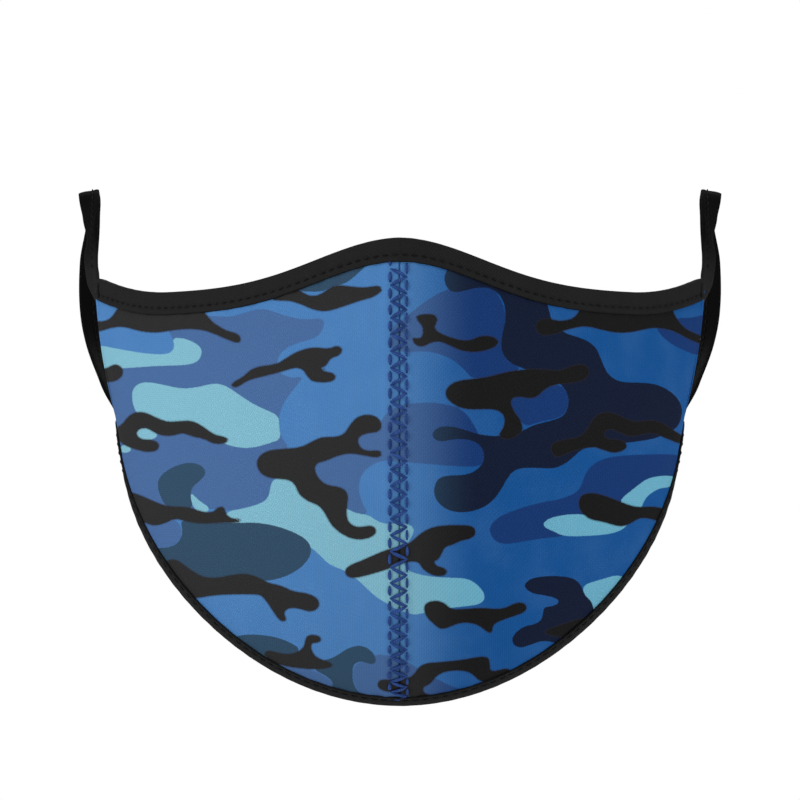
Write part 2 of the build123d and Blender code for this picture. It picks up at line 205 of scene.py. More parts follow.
PRINT_BLACK = (
    ((-33.2, 43.9), (-31, 47), (-26.2, 46.6), (-23.9, 44.9), (-21.9, 44.5), (-20, 45), (-17.4, 47),
     (-15.2, 47.3), (-11.8, 46.8), (-8.7, 46.6), (-5.3, 47.2), (-4.2, 46.1), (-6.7, 44.2),
     (-10.4, 43.3), (-14.6, 41.8), (-18.8, 40.6), (-21.9, 41.1), (-25, 42.5), (-28.1, 43.5),
     (-30.9, 43.5)),
    ((-79, 38.6), (-76.5, 38.5), (-74.5, 39.6), (-73, 42), (-70, 46), (-56, 46), (-51, 42),
     (-48.5, 38.5), (-46, 36.8), (-44.2, 35.8), (-41.4, 35.1), (-40.4, 33.7), (-41.2, 32.6),
     (-44.2, 33.7), (-47.5, 35.2), (-50.5, 36.2), (-54, 36.5), (-58, 36.2), (-61.5, 35.6),
     (-64.5, 35.6), (-67.6, 36.1), (-71.3, 37.2), (-74.5, 37), (-78.3, 35.9), (-82, 35.5), (-82, 38.6)),
    ((-76.2, 26.3), (-73.4, 27.6), (-71.5, 26.4), (-71.5, 24.6), (-73, 23.3), (-75.1, 22.8), (-79, 23.4),
     (-79, 25.6)),
    ((-43.1, 21.7), (-42.5, 22.7), (-40, 24), (-38.1, 25.8), (-36, 26.7), (-31.5, 27.2),
     (-29.5, 28.4), (-26.7, 30.2), (-23.6, 31.3), (-21.1, 31.5), (-18, 31.1), (-16, 32),
     (-14.4, 31.2), (-15.2, 29.5), (-17.7, 28.8), (-18.7, 26.8), (-20.2, 26.4), (-19.4, 25.4),
     (-17.1, 25.1), (-16, 24), (-17.1, 22.9), (-19.7, 22.6), (-22.5, 23), (-23.8, 24.7),
     (-24.7, 26.1), (-26.7, 26.5), (-30.1, 25.4), (-34.6, 24.3), (-38.6, 23.3), (-41.7, 21.3)),
    ((-71.5, 12), (-70.1, 13.9), (-68, 15.1), (-65.4, 15), (-62.7, 13.7), (-59.6, 12.5),
     (-56.2, 12.8), (-53.2, 12.9), (-50.5, 11.6), (-47.5, 9.3), (-44.6, 8.8), (-43.6, 8),
     (-44.8, 7.1), (-47.5, 7), (-50.1, 8.4), (-53.2, 8.9), (-55.5, 9.9), (-57.7, 9.2), (-60.4, 9),
     (-62.7, 9.7), (-65, 11.1), (-67.3, 10.8), (-68, 9.3), (-66.5, 8), (-63.5, 8), (-61.6, 6.9),
     (-62.3, 5.2), (-65, 4.8), (-68, 5.5), (-71.1, 6.5), (-73.4, 8.4), (-73.4, 11)),
    ((-69.6, -5.5), (-66.5, -6.5), (-63.5, -7.8), (-59.6, -9.2), (-53.9, -9.2), (-50.5, -10.5),
     (-47.8, -10.5), (-46.3, -9.1), (-44.8, -9.1), (-44.4, -11.2), (-42.5, -12.2), (-40.4, -12),
     (-41, -13.1), (-46.3, -13.1), (-51.3, -13.4), (-54.3, -12.9), (-57.7, -12.1), (-60.4, -13.5),
     (-63.1, -14.2), (-66.1, -13.3), (-71, -12), (-74, -7)),
    ((-59.5, -22.9), (-57.2, -22.8), (-54.2, -25.1), (-50.6, -27.3), (-46.9, -27.4), (-42.6, -26.5),
     (-39.3, -26.1), (-36, -27.1), (-33.4, -28.5), (-30.2, -29.1), (-27.2, -30.6), (-23.2, -31),
     (-20.5, -32.6), (-20.7, -34.8), (-22.9, -35.8), (-26.5, -34.6), (-29.1, -35), (-29.6, -36.6),
     (-28.8, -37.9), (-30.3, -38.4), (-31.8, -36.6), (-34.9, -31.7), (-37.1, -31.3), (-44.4, -31.5),
     (-48.4, -31.9), (-51.7, -32.6), (-57, -33), (-63, -25)),
    ((-34.7, -46.5), (-33.4, -45.9), (-30.2, -46.8), (-26.9, -46.7), (-24.5, -45), (-24, -42.5),
     (-23.2, -41.7), (-21, -41.7), (-19.8, -42.8), (-21, -43.7), (-22.5, -43.7), (-22.8, -45),
     (-21.9, -47.1), (-20, -48.1), (-17.6, -48.8), (-17.2, -49.8), (-19.5, -50.4), (-22.8, -50.6),
     (-26, -50.3), (-28, -50.1), (-32.4, -49.2), (-34.4, -47.7)),
    ((-36.6, 2.1), (-35.5, 4.3), (-32.9, 5.5), (-28.7, 5.8), (-25, 6.2), (-22.2, 7.7), (-19.9, 8.8),
     (-16, 8.8), (-14, 9.7), (-12.6, 11.9), (-10.9, 13.9), (-8.1, 14.6), (-5.6, 13.9),
     (-4.5, 11.9), (-5.3, 10.1), (-8.9, 9.8), (-10.8, 8.6), (-10.4, 6.3), (-8.4, 5.2), (-5.3, 5.5),
     (-4.3, 4.6), (-5.6, 3.6), (-8.9, 4.2), (-12.3, 4.8), (-15.4, 4.3), (-18.8, 2.8), (-21.1, 2.3),
     (-21.8, 0.7), (-20.8, -1.6), (-18.8, -3.4), (-14.9, -3.9), (-13.2, -5.3), (-13.3, -8.1),
     (-13.7, -10.6), (-12.9, -13.2), (-10.6, -14.2), (-7, -13.4), (-5.8, -14.9), (-7, -16.5),
     (-10.4, -17.3), (-13.7, -16.4), (-17.1, -14), (-19.1, -10.3), (-20.5, -8.5), (-23.3, -7.5),
     (-25.6, -5.8), (-26.7, -3), (-28.4, -1.9), (-32.9, -1.7), (-35.5, -0.5)),
    ((-14, -25.3), (-13.2, -23.9), (-8.9, -22.2), (-3.6, -19.7), (2, -18.6), (5.6, -15.2),
     (9.3, -13.6), (16.9, -13.5), (18.9, -14.1), (19.2, -15.8), (18, -16.9), (15.2, -17.5),
     (13.5, -18.4), (11.3, -19), (10.6, -20.6), (9.6, -22.4), (8.5, -22.5), (9, -23.9),
     (11.3, -24.4), (12.1, -25.4), (11, -26.5), (8.2, -26.3), (5.6, -24.5), (5.2, -23.4),
     (4.4, -22.7), (1.7, -22.7), (-3.3, -24.7), (-7.5, -26), (-11.5, -27), (-13.5, -26.6)),
    ((-5.8, -54.7), (-5.3, -53.4), (-4.2, -53.1), (-2.3, -53.2), (1.9, -52.8), (3.4, -52.1),
     (4.8, -49.9), (6.4, -48.9), (10.6, -48.6), (15.9, -48.1), (20.2, -47.3), (22.6, -47.4),
     (22.9, -49.4), (23.1, -51.3), (25.5, -50.9), (27.6, -50.4), (28.4, -51.5), (27, -56),
     (22.8, -54.2), (20.2, -53.6), (18.6, -51.8), (16.7, -50.9), (13.3, -50.7), (10.3, -51.4),
     (8.8, -52.8), (7.7, -54.2), (5.7, -55.2), (6.1, -56.8), (8.2, -57.4), (8.9, -58.7), (7, -62),
     (4.8, -59), (1.9, -57), (-2.3, -56.2), (-3.1, -56.3), (-4.9, -55.8)),
    ((3, 33.3), (3.5, 34), (4.9, 33.5), (5.9, 34.6), (5.9, 36.6), (4.9, 38), (3.8, 38.8),
     (4.7, 39.7), (6.8, 39.9), (8.7, 39.8), (9.6, 38.8), (9, 37.4), (8.5, 36.3), (9.9, 35.1),
     (12.7, 34), (15.5, 33.2), (18, 33.3), (20.3, 34.4), (23.1, 34.4), (25, 33.4), (24.8, 32.2),
     (22.3, 30.9), (18.6, 30.3), (15.2, 30.8), (12.4, 32.2), (9.9, 33.2), (7.6, 32.7), (5.9, 31.7),
     (4.2, 31.9)),
    ((11.3, 19.6), (12.1, 21.6), (14.4, 23), (18.3, 23.5), (22.6, 24), (26.2, 25.1), (31, 25.9),
     (36.1, 26), (40.3, 25.4), (43.3, 26.6), (45.8, 27.3), (47.8, 26.8), (48.3, 25.4),
     (47.5, 23.7), (45, 22.8), (41.7, 22.5), (38.9, 22), (36.7, 20.9), (35, 19.2), (33.3, 18.6),
     (30.5, 19.1), (28.5, 18.8), (27.9, 17.4), (29, 15.1), (30.7, 12.9), (31.2, 10.6),
     (30.7, 10.2), (28.8, 8.6), (26.5, 8.3), (24.8, 9.3), (26.5, 11.3), (26.6, 14), (25.4, 15.4),
     (23.1, 16), (18.3, 15.8), (15.2, 16.2), (12.7, 17.7)),
    ((34.5, 37.1), (35.3, 38.4), (37.5, 39), (39.5, 38.5), (41.6, 38.3), (43.9, 38.9), (45.3, 40),
     (47, 43), (55, 46), (68, 46), (70.9, 40.2), (72.2, 38.1), (74, 36.4), (76.9, 35.2),
     (78.8, 34.5), (82, 33.6), (80, 32), (78.3, 32.7), (75.4, 33.7), (72.6, 35.1), (69.2, 36.5),
     (65.3, 36.9), (61.9, 36.2), (58.5, 35.5), (55.1, 35.5), (52, 36.1), (48.9, 36.9), (46.4, 37.1),
     (43.9, 36.5), (41.6, 35.9), (39.5, 35.1), (36.7, 34.7), (35, 35.4)),
    ((38.4, 5.4), (38.9, 7.1), (40.9, 7.9), (45.8, 8.6), (47.8, 10.4), (48.7, 12.4), (50.3, 14.4),
     (52.9, 15.1), (55.4, 14.5), (58, 13.1), (60.8, 12.5), (64.2, 13), (67, 12.5), (69.8, 10.8),
     (72.5, 9.2), (76, 7.5), (72.1, 6.9), (69.8, 7.9), (67.8, 8.6), (66.1, 9.6), (64.2, 9.9),
     (61.3, 9.2), (58.5, 9), (56.3, 10), (54, 11), (52.3, 10.4), (51.9, 9), (53.2, 8), (56.3, 8),
     (58.1, 7), (57.8, 5.6), (55.1, 4.6), (52.3, 5.3), (49.8, 6.3), (46.7, 6.1), (43.3, 5.1),
     (41.7, 4.3), (39.5, 3.7)),
    ((45.6, -7.8), (46.3, -6.1), (48.5, -5.5), (51.5, -6), (55.4, -7.5), (58.7, -8.8), (61.3, -9.4),
     (65.2, -9.2), (67.8, -9.8), (71, -11.5), (69, -13.6), (66.2, -12.9), (63.6, -12.1),
     (61.3, -12.1), (59.3, -13.4), (56.7, -14.3), (54.1, -13.6), (51.5, -12.8), (48.9, -12.4),
     (46.9, -11.1), (45.8, -9.4)),
    ((6, -34.8), (6.6, -33.3), (8.8, -32.7), (10.9, -33.1), (12.2, -34.3), (13.5, -35.1),
     (17.2, -34.9), (20.7, -34.7), (24.9, -35.1), (27.1, -34.7), (29.2, -33.6), (31.3, -33.4),
     (32.4, -34.5), (31.8, -35.9), (29.2, -36.8), (25.5, -38), (23.6, -39.1), (23.5, -40.9),
     (22.8, -41.3), (21, -39.8), (19.1, -38.7), (16.7, -38.3), (14.3, -38.7), (11.9, -39.8),
     (10.1, -40), (8.8, -38.8), (6.9, -37.2)),
    ((36.8, -40.9), (40.7, -39.6), (46.9, -37.6), (52, -38), (44, -43), (37.8, -41.8)),
)
SIDES = (("left", -1.0), ("right", 1.0))
# Share of the way along a stitch, and how far it stands up there.
STITCH_STEPS = np.linspace(0, 1, 7)
STITCH_BOW = np.sin(STITCH_STEPS * pi)

# Stage: the floor in millimetres, each lamp as (name, place, size, power), and the camera in metres.
FLOOR_POINTS = 45
FLOOR_HEIGHT = -135
FLOOR_FALL = 60
WORLD_LIGHT = 0.40
LAMPS = (
    ("key", (-0.6, -1.0, 0.7), (0.9, 0.7), 5.2),
    ("fill", (0.9, -1.0, 0.25), (0.8, 0.8), 1.3),
    ("left_strip", (-0.75, -0.15, 0.05), (0.12, 0.8), 1.7),
    ("right_strip", (0.75, -0.15, 0.05), (0.12, 0.8), 1.7),
    ("back", (0.0, 1.2, 0.7), (0.9, 0.6), 3.0),
)
CAMERA_PLACE = (0.0, -2.5, 0.0182)
CAMERA_LENS = 433.0


# ---- the panel's curved face ----
def unit(vectors):
    return vectors / np.maximum(np.linalg.norm(vectors, axis=-1, keepdims=True), 1e-9)


def wrap(u):
    return np.sin(SIDE_TURN * u) / np.sin(SIDE_TURN)


def face(u, v):
    """Outside of the right panel. The top edge is a bell over the nose with a lift at the corner, the
    jaw edge a flattened quarter ellipse, and v runs from one to the other as a sine. Depth runs from
    the seam's line to the side's line as a turning circle mixed with a straight slope."""
    w = np.sin(UNDER_TURN * v) / np.sin(UNDER_TURN)
    xt = TOP_WIDTH * wrap(u)
    past = np.maximum(0.0, xt - LIFT_START) / (TOP_WIDTH - LIFT_START)
    zt = DIP_HEIGHT + (NOSE_HEIGHT - DIP_HEIGHT) * np.exp(-((xt / NOSE_SPREAD) ** 2)) + CORNER_LIFT * past**2
    flat = 1 - JAW_FLAT * np.sin(pi * u) ** 2
    xb = LOW_WIDTH * flat * np.sin(u * pi / 2)
    zb = LOW_CORNER_HEIGHT - (LOW_CORNER_HEIGHT + CHIN_DEPTH) * flat * np.cos(u * pi / 2)
    x = (1 - w) * xt + w * xb + u**2 * SIDE_BOW * 4 * w * (1 - w)
    z = (1 - w) * zt + w * zb
    tuck = (1 - np.cos(UNDER_TURN * v)) / (1 - np.cos(UNDER_TURN))
    seam_y = -SEAM_REACH + CHIN_TUCK * tuck + NOSE_SET_BACK * np.exp(-((v / NOSE_FADE) ** 2))
    side_y = (1 - w) * TOP_CORNER_BACK - w * LOW_CORNER_FRONT - SIDE_HOLLOW * 4 * w * (1 - w)
    slope = RIDGE_NOSE + (RIDGE_CHIN - RIDGE_NOSE) * w
    turn = (1 - np.cos(SIDE_TURN * u)) / (1 - np.cos(SIDE_TURN))
    y = seam_y + (side_y - seam_y) * ((1 - slope) * turn + slope * wrap(u))
    return np.stack([x + SEAM_GAP, y, z], axis=-1)


def across(u, v):
    low = np.maximum(u - 1e-4, 0.0)
    return (face(u + 1e-4, v) - face(low, v)) / (u + 1e-4 - low)[..., None]


def down(u, v):
    return (face(u, v + 1e-4) - face(u, v - 1e-4)) / 2e-4


def inward(u, v):
    """Unit direction into the mask: across the face's two directions, levelled off at the seam."""
    u, v = np.broadcast_arrays(np.asarray(u, float), np.asarray(v, float))
    u_in = np.minimum(u, 1 - CORNER_EASE / 2)
    v_in = v * (1 - CORNER_EASE * u * u)
    normal = unit(np.cross(unit(across(u_in, v_in)), unit(down(u_in, v_in))))
    blend = np.minimum(1.0, u / 0.08)
    normal[..., 0] *= blend * blend * (3 - 2 * blend)
    return unit(normal)


def place(u, v, depth):
    """Point at a depth under the outside face."""
    u, v, depth = np.broadcast_arrays(np.asarray(u, float), np.asarray(v, float), np.asarray(depth, float))
    return face(u, v) + inward(u, v) * depth[..., None]


def inset(u, edge, distance):
    """Value of v at a distance in from the top edge (0) or bottom edge (1), by halving."""
    u, distance = np.broadcast_arrays(np.asarray(u, float), np.asarray(distance, float))
    start = face(u, np.full(u.shape, float(edge)))
    near, far = np.full(u.shape, float(edge)), np.full(u.shape, 0.5)
    for _ in range(24):
        middle = (near + far) / 2
        short = np.linalg.norm(face(u, middle) - start, axis=-1) < distance
        near, far = np.where(short, middle, near), np.where(short, far, middle)
    return far


def edge_point(u, edge, along, depth):
    """Point at a depth and a distance in from the top or bottom edge. Negative is beyond the edge."""
    u, along, depth = np.broadcast_arrays(u, along, depth)
    inside = place(u, inset(u, edge, np.maximum(along, 1e-3)), depth)
    rim = np.full(u.shape, float(edge))
    out = unit(face(u, rim) - face(u, inset(u, edge, 1.0)))
    return np.where((along > 0)[..., None], inside, place(u, rim, depth) - out * along[..., None])


def side_point(v, along, depth):
    """Point at a depth and a distance in from the side edge."""
    v, along, depth = np.broadcast_arrays(v, along, depth)
    one = np.ones(v.shape)
    grow = across(one - 0.01, v)
    length = np.linalg.norm(grow, axis=-1)
    inside = place(1 - np.maximum(along, 0) / length, v, depth)
    return inside + unit(grow) * np.maximum(-along, 0)[..., None]


def mirrored(points, sign):
    return points * np.array([sign, 1.0, 1.0])


def way_along(line):
    """Length along a line of points, from its first."""
    return np.pad(np.cumsum(np.linalg.norm(np.diff(line, axis=0), axis=1)), (1, 0))


def ring_turn(count):
    """Angles round a section, half a step off the axes."""
    return np.arange(count) * 2 * pi / count + pi / count


def squarish(wave, power):
    """Sine or cosine with its size raised to a power under 1, which flattens an oval's sides."""
    return np.sign(wave) * np.abs(wave) ** power


# ---- meshes ----
def rounded(points, times):
    """Closed outline with its corners cut at a quarter and three quarters of each side."""
    for _ in range(times):
        after = np.roll(points, -1, axis=0)
        points = np.stack([points * 0.75 + after * 0.25, points * 0.25 + after * 0.75], axis=1).reshape(-1, 2)
    return points


def print_field(outlines, xz):
    """Distance in millimetres to the nearest outline, positive inside it."""
    best = np.full(len(xz), -30.0)
    for outline in outlines:
        ring = rounded(np.array(outline, float), 2)
        near = (xz >= ring.min(axis=0) - 8).all(axis=1) & (xz <= ring.max(axis=0) + 8).all(axis=1)
        spot = xz[near][:, None, :]
        start, run = ring[None], (np.roll(ring, -1, axis=0) - ring)[None]
        share = np.clip(((spot - start) * run).sum(-1) / (run * run).sum(-1), 0, 1)
        gap = np.linalg.norm(spot - start - run * share[..., None], axis=-1).min(axis=1)
        rise = run[..., 1]
        rise = np.where(np.abs(rise) < 1e-9, 1e-9, rise)
        crossing = (spot[..., 1] >= start[..., 1]) != (spot[..., 1] >= start[..., 1] + run[..., 1])
        right_of = spot[..., 0] < start[..., 0] + run[..., 0] * (spot[..., 1] - start[..., 1]) / rise
        inside = (crossing & right_of).sum(axis=1) % 2 == 1
        best[near] = np.maximum(best[near], np.where(inside, gap, -gap))
    return best


def make(name, points, faces, uv, material):
    """Mesh object in metres from points in millimetres, with a map in metres."""
    mesh = bpy.data.meshes.new(name)
    mesh.vertices.add(len(points))
    mesh.vertices.foreach_set("co", (points * MM).astype(np.float32).ravel())
    mesh.loops.add(faces.size)
    mesh.loops.foreach_set("vertex_index", faces.astype(np.int32).ravel())
    mesh.polygons.add(len(faces))
    mesh.polygons.foreach_set("loop_start", np.arange(0, faces.size, 4, dtype=np.int32))
    mesh.update(calc_edges=True)
    layer = mesh.uv_layers.new(name="Cloth")
    layer.data.foreach_set("uv", (uv[faces.ravel()] * MM).astype(np.float32).ravel())
    mesh.polygons.foreach_set("use_smooth", np.ones(len(faces), dtype=bool))
    mesh.validate()
    piece = bpy.data.objects.new(name, mesh)
    bpy.context.collection.objects.link(piece)
    mesh.materials.append(material)
    return piece


def tubes(rings):
    """Faces of closed tubes with rings (tube, station, point), each end closed by four-sided faces."""
    count, stations, around = rings
    k, i, j = np.meshgrid(np.arange(count), np.arange(stations - 1), np.arange(around), indexing="ij")
    at = (k * stations + i) * around
    after = (j + 1) % around
    wall = np.stack([at + j, at + after, at + around + after, at + around + j], axis=-1).reshape(-1, 4)
    k, j = np.meshgrid(np.arange(count), np.arange(around // 2 - 1), indexing="ij")
    cap = np.stack([j, around - 1 - j, around - 2 - j, j + 1], axis=-1)
    first = (k * stations * around)[..., None] + cap
    last = (k * stations * around + (stations - 1) * around)[..., None] + cap[..., ::-1]
    return np.concatenate([wall, first.reshape(-1, 4), last.reshape(-1, 4)])


def volume(points, faces):
    """Volume inside closed four-sided faces, negative where they look inwards."""
    a, b, c, d = (points[faces[:, i]] for i in range(4))
    return ((np.cross(a, b) * c).sum() + (np.cross(a, c) * d).sum()) / 6


def tube(name, rings, material, uv=None):
    """Closed piece through rings (station, point, xyz) or (tube, station, point, xyz)."""
    rings = rings if rings.ndim == 4 else rings[None]
    if uv is None:
        round_step = np.linalg.norm(rings - np.roll(rings, 1, axis=2), axis=-1)
        round_step[:, :, 0] = 0
        along_step = np.linalg.norm(np.diff(rings.mean(axis=2), axis=1), axis=-1)
        along = np.pad(np.cumsum(along_step, axis=1), ((0, 0), (1, 0)))
        round_by = np.cumsum(round_step, axis=2).mean(axis=1, keepdims=True)
        uv = np.stack(np.broadcast_arrays(along[..., None], round_by), axis=-1)
    points = rings.reshape(-1, 3)
    faces = tubes(rings.shape[:3])
    if volume(points, faces) < 0:
        faces = faces[:, ::-1]
    return make(name, points, faces, uv.reshape(-1, 2), material)


def strands(name, lines, out, width, height, material, taper=0.5):
    """Threads along lines (thread, station, xyz): an oval carried along each, thinner at its ends
    by a power of the sine of the way along."""
    tangent = unit(np.gradient(lines, axis=1))
    side = unit(np.cross(tangent, out))
    up = np.cross(side, tangent)
    turn = ring_turn(THREAD_SIDES)[:, None]
    way = np.linspace(0.04, 0.96, lines.shape[1])
    thick = (np.sin(way * pi) ** taper)[None, :, None, None]
    oval = side[:, :, None] * np.cos(turn) * width / 2 + up[:, :, None] * np.sin(turn) * height / 2
    return tube(name, lines[:, :, None] + oval * thick, material)


def add_print(piece):
    """Stores the distance to each colour's outlines at every point of a printed piece."""
    mesh = piece.data
    flat = np.empty(len(mesh.vertices) * 3, dtype=np.float32)
    mesh.vertices.foreach_get("co", flat)
    xz = flat.reshape(-1, 3)[:, (0, 2)].astype(float) / MM
    inks = {"mid": PRINT_MID, "light": PRINT_LIGHT, "dark": PRINT_DARK, "black": PRINT_BLACK}
    fields = {"from_seam": xz[:, 0], **{name: print_field(outlines, xz) for name, outlines in inks.items()}}
    for name, values in fields.items():
        stored = mesh.attributes.new(name, "FLOAT", "POINT").data
        stored.foreach_set("value", values.astype(np.float32))


def across_fold(piece, *nodes, slot=None):
    """Bakes a piece's placement into its mesh, and stands it in for CAD nodes by hiding them. The slot
    argument is not used."""
    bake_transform(piece)
    if nodes:
        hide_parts(*nodes)


# ---- plies ----
def ply(name, sign, depths, grid, material, relief=None):
    """Closed sheet between two depths: one grid of the face for each skin, joined round the rim. A relief
    pushes the outer skin in and out."""
    u, v = np.meshgrid(np.linspace(0, 1, grid[0]), np.linspace(0, 1, grid[1]), indexing="ij")
    outer, inner = place(u, v, depths[0]), place(u, v, depths[1])
    if relief is not None:
        outer = outer + inward(u, v) * relief(u, v, outer)[..., None]
    step_u = np.linalg.norm(np.diff(outer, axis=0), axis=-1)
    step_v = np.linalg.norm(np.diff(outer, axis=1), axis=-1)
    uv = np.stack([np.pad(np.cumsum(step_u, axis=0), ((1, 0), (0, 0))),
                   np.pad(np.cumsum(step_v, axis=1), ((0, 0), (1, 0)))], axis=-1)
    rings = np.concatenate([outer, inner[:, ::-1]], axis=1)
    uv = np.concatenate([uv, uv[:, ::-1]], axis=1)[None]
    return tube(name, mirrored(rings, sign), material, uv * np.array([sign, -1.0]))


def panel_relief(u, v, points):
    """Depth of the outer skin's shaping in millimetres: a hollow line beside the seam, the raised edge of
    the flatlock, soft puckers by the tapes, and long shallow ripples."""
    x = points[..., 0]
    groove = 0.30 * np.exp(-((x / 0.7) ** 2)) - 0.16 * np.exp(-(((x - 3.6) / 0.7) ** 2))
    stitches = 0.10 * np.exp(-(((x - 2.1) / 0.9) ** 2)) * (1 + np.cos(points[..., 2] * 2 * pi / SEAM_PITCH))
    near_top = np.exp(-((v / 0.085) ** 2))
    near_low = np.exp(-(((1 - v) / 0.085) ** 2))
    pucker = 0.11 * (near_top + near_low) * np.sin(x * 2 * pi / 5.2 + 2 * np.sin(x / 11))
    hem = -0.16 * np.exp(-(((1 - u) / 0.028) ** 2)) + 0.14 * np.exp(-((((1 - u) - 0.075) / 0.016) ** 2))
    ripple = 0.22 * np.sin(u * 9 + v * 4) * np.sin(v * 7 + 1.3) * u
    return groove + stitches + pucker + hem + ripple


# ---- tapes folded over an edge ----
def tape_profile(width, groove):
    """Section of a folded tape as (distance in from the edge, depth): the outer leg with a hollow under
    its stitches, an oval fold, the inner leg, and the same line back on the inside."""
    leg_in = np.linspace(width, 0.2, 12)
    hollow = 0.26 * np.exp(-(((leg_in - groove) / 0.45) ** 2))
    roll = 0.10 * np.exp(-(((leg_in - groove - 1.1) / 0.6) ** 2))
    out_depth = -PLY_GAP - TAPE + hollow - roll + 0.12 * (leg_in > width - 0.2)
    turn = np.linspace(0, pi, 9)[1:-1]
    middle = STACK / 2
    fold_in = -0.55 * np.sin(turn)
    fold_depth = middle - (middle + PLY_GAP + TAPE) * np.cos(turn)
    back_in = np.linspace(0.2, width, 9)
    outside = np.concatenate([
        np.stack([leg_in, out_depth], axis=1),
        np.stack([fold_in, fold_depth], axis=1),
        np.stack([back_in, np.full(9, STACK + PLY_GAP + TAPE)], axis=1),
    ])
    inside = np.stack([outside[:, 0], np.clip(outside[:, 1], -PLY_GAP, STACK + PLY_GAP)], axis=1)
    inside[12:19, 0] = -0.30 * np.sin(turn)
    inside[12:19, 1] = middle - (middle + PLY_GAP) * np.cos(turn)
    return np.concatenate([outside, inside[::-1]])


def tape_rings(edge, width):
    """Tape from one side edge over the seam to the other, with slight puckers along its length."""
    profile = tape_profile(width, RUN_INSET)
    u = np.linspace(-1, 1, TAPE_STATIONS)
    sign = np.where(u < 0, -1.0, 1.0)
    rings = edge_point(np.abs(u)[:, None], edge, profile[None, :, 0], profile[None, :, 1])
    ripple = 0.07 * np.sin(u * 150) * np.sin(u * 31 + 1)
    rings = rings - inward(np.abs(u), np.full(TAPE_STATIONS, 0.5))[:, None] * ripple[:, None, None]
    last = np.clip((np.abs(u) - 0.985) / 0.015, 0, 1)[:, None, None] ** 2
    rings = rings + (rings.mean(axis=1, keepdims=True) - rings) * 0.10 * last
    rings[..., 0] *= sign[:, None]
    return rings


def row_marks(edge):
    """Points and outward directions for a row of stitches along a tape, one pitch apart."""
    u = np.linspace(0, 1, ROUTE_STATIONS)
    way = way_along(edge_point(u, edge, RUN_INSET, -PLY_GAP - TAPE))
    start = np.arange(0.5, way[-1] - RUN_PITCH, RUN_PITCH)[:, None]
    at = np.interp(start + RUN_LENGTH * STITCH_STEPS, way, u)
    points = edge_point(at, edge, RUN_INSET, -PLY_GAP - TAPE + 0.32 - 0.42 * STITCH_BOW[None])
    return points, -inward(at, inset(at, edge, RUN_INSET))


# ---- the flatlock seam ----
def seam_point(x, v, depth):
    """Point at a signed distance from the seam, at v down it and a depth under the face."""
    x, v, depth = np.broadcast_arrays(x, v, depth)
    u = np.maximum(np.abs(x) - SEAM_GAP, 0) / np.linalg.norm(across(np.zeros(v.shape), v), axis=-1)
    points = place(u, v, depth)
    points[..., 0] = np.where(np.abs(x) < 0.05, x, points[..., 0] * np.sign(x))
    out = -inward(u, v)
    out[..., 0] *= np.sign(x)
    return points, out


def seam_threads(pitch, depth, rows, legs):
    """Stitch lines of a flatlock: short runs in two columns half a pitch apart, and legs that go from
    one column to the other and back. Each is (share of a pitch down, signed distance, height)."""
    v = np.linspace(0, 1, 600)
    way = way_along(face(np.zeros(600), v))
    first = np.arange(5.2, way[-1] - 6.5, pitch)[:, None]
    bow = np.maximum(STITCH_BOW, 0) ** 0.6
    run, leg = 0.62 * STITCH_STEPS - 0.31, 0.5 * STITCH_STEPS
    swing = legs * (2 * STITCH_STEPS - 1)
    plan = (
        (run, np.full(7, -1.24 * rows), 1.0),
        (run + 0.5, np.full(7, 0.86 * rows), 1.0),
        (leg + 0.5, swing - 0.35, 1.2),
        (leg + 1.0, -swing - 0.35, 1.2),
    )
    drawn = []
    for steps, x, height in plan:
        at = first + steps * pitch
        drawn.append(seam_point(x[None], np.interp(at, way, v), depth[0] * height * bow + depth[1]))
    return [points for points, _ in drawn], [out for _, out in drawn]


# ---- ear loops ----
def loop_frames(stations):
    """Middle line of the right loop as a smooth cubic through its points, with the tape's width and
    face directions rolled from one point to the next."""
    corners = (face(np.array(1.0), np.array(0.0)), face(np.array(1.0), np.array(1.0)))
    route = [(corners[0] + p, r) for p, r in LOOP_UPPER] + [(corners[1] + p, r) for p, r in LOOP_LOWER]
    points = np.array([p for p, _ in route])
    rolls = np.array([r for _, r in route], float)
    ends = np.concatenate([[2 * points[0] - points[1]], points, [2 * points[-1] - points[-2]]])
    t = np.linspace(0, len(points) - 1 - 1e-6, stations)
    i = t.astype(int)
    s = (t - i)[:, None]
    a, b, c, d = ends[i], ends[i + 1], ends[i + 2], ends[i + 3]
    centre = 0.5 * (2 * b + (c - a) * s + (2 * a - 5 * b + 4 * c - d) * s**2 + (3 * b - a - 3 * c + d) * s**3)
    ease = (s * s * (3 - 2 * s))[:, 0]
    roll = np.radians(rolls[i] * (1 - ease) + rolls[np.minimum(i + 1, len(rolls) - 1)] * ease)[:, None]
    tangent = unit(np.gradient(centre, axis=0))
    sideways = unit(np.array([1.0, 0, 0]) - tangent * tangent[:, :1])
    upright = np.cross(tangent, sideways)
    width = sideways * np.cos(roll) + upright * np.sin(roll)
    return centre, width, np.cross(tangent, width)


def loop_rings():
    """Folded tape of the loop: a flat oval section with a hollow line under its stitches and a slit
    along one edge, where the two legs of the fold meet. It is thicker and wider where it leaves the
    binding."""
    centre, width, up = loop_frames(LOOP_STATIONS)
    turn = ring_turn(28)
    w = squarish(np.cos(turn), 0.55) * LOOP_WIDTH / 2
    f = squarish(np.sin(turn), 0.5) * LOOP_THICKNESS / 2
    f = f * (1 - 0.30 * np.exp(-(((w + LOOP_GROOVE) / 0.5) ** 2)))
    w = w - 0.35 * (w > 0) * np.exp(-((f / 0.2) ** 2))
    far = np.arange(LOOP_STATIONS)[:, None] / LOOP_STATIONS
    f = f[None] * (1 + 2.9 * np.exp(-((far / 0.060) ** 2)))
    w = w[None] * (1 + 0.20 * np.exp(-((far / 0.055) ** 2)))
    return centre[:, None] + width[:, None] * w[..., None] + up[:, None] * f[..., None]


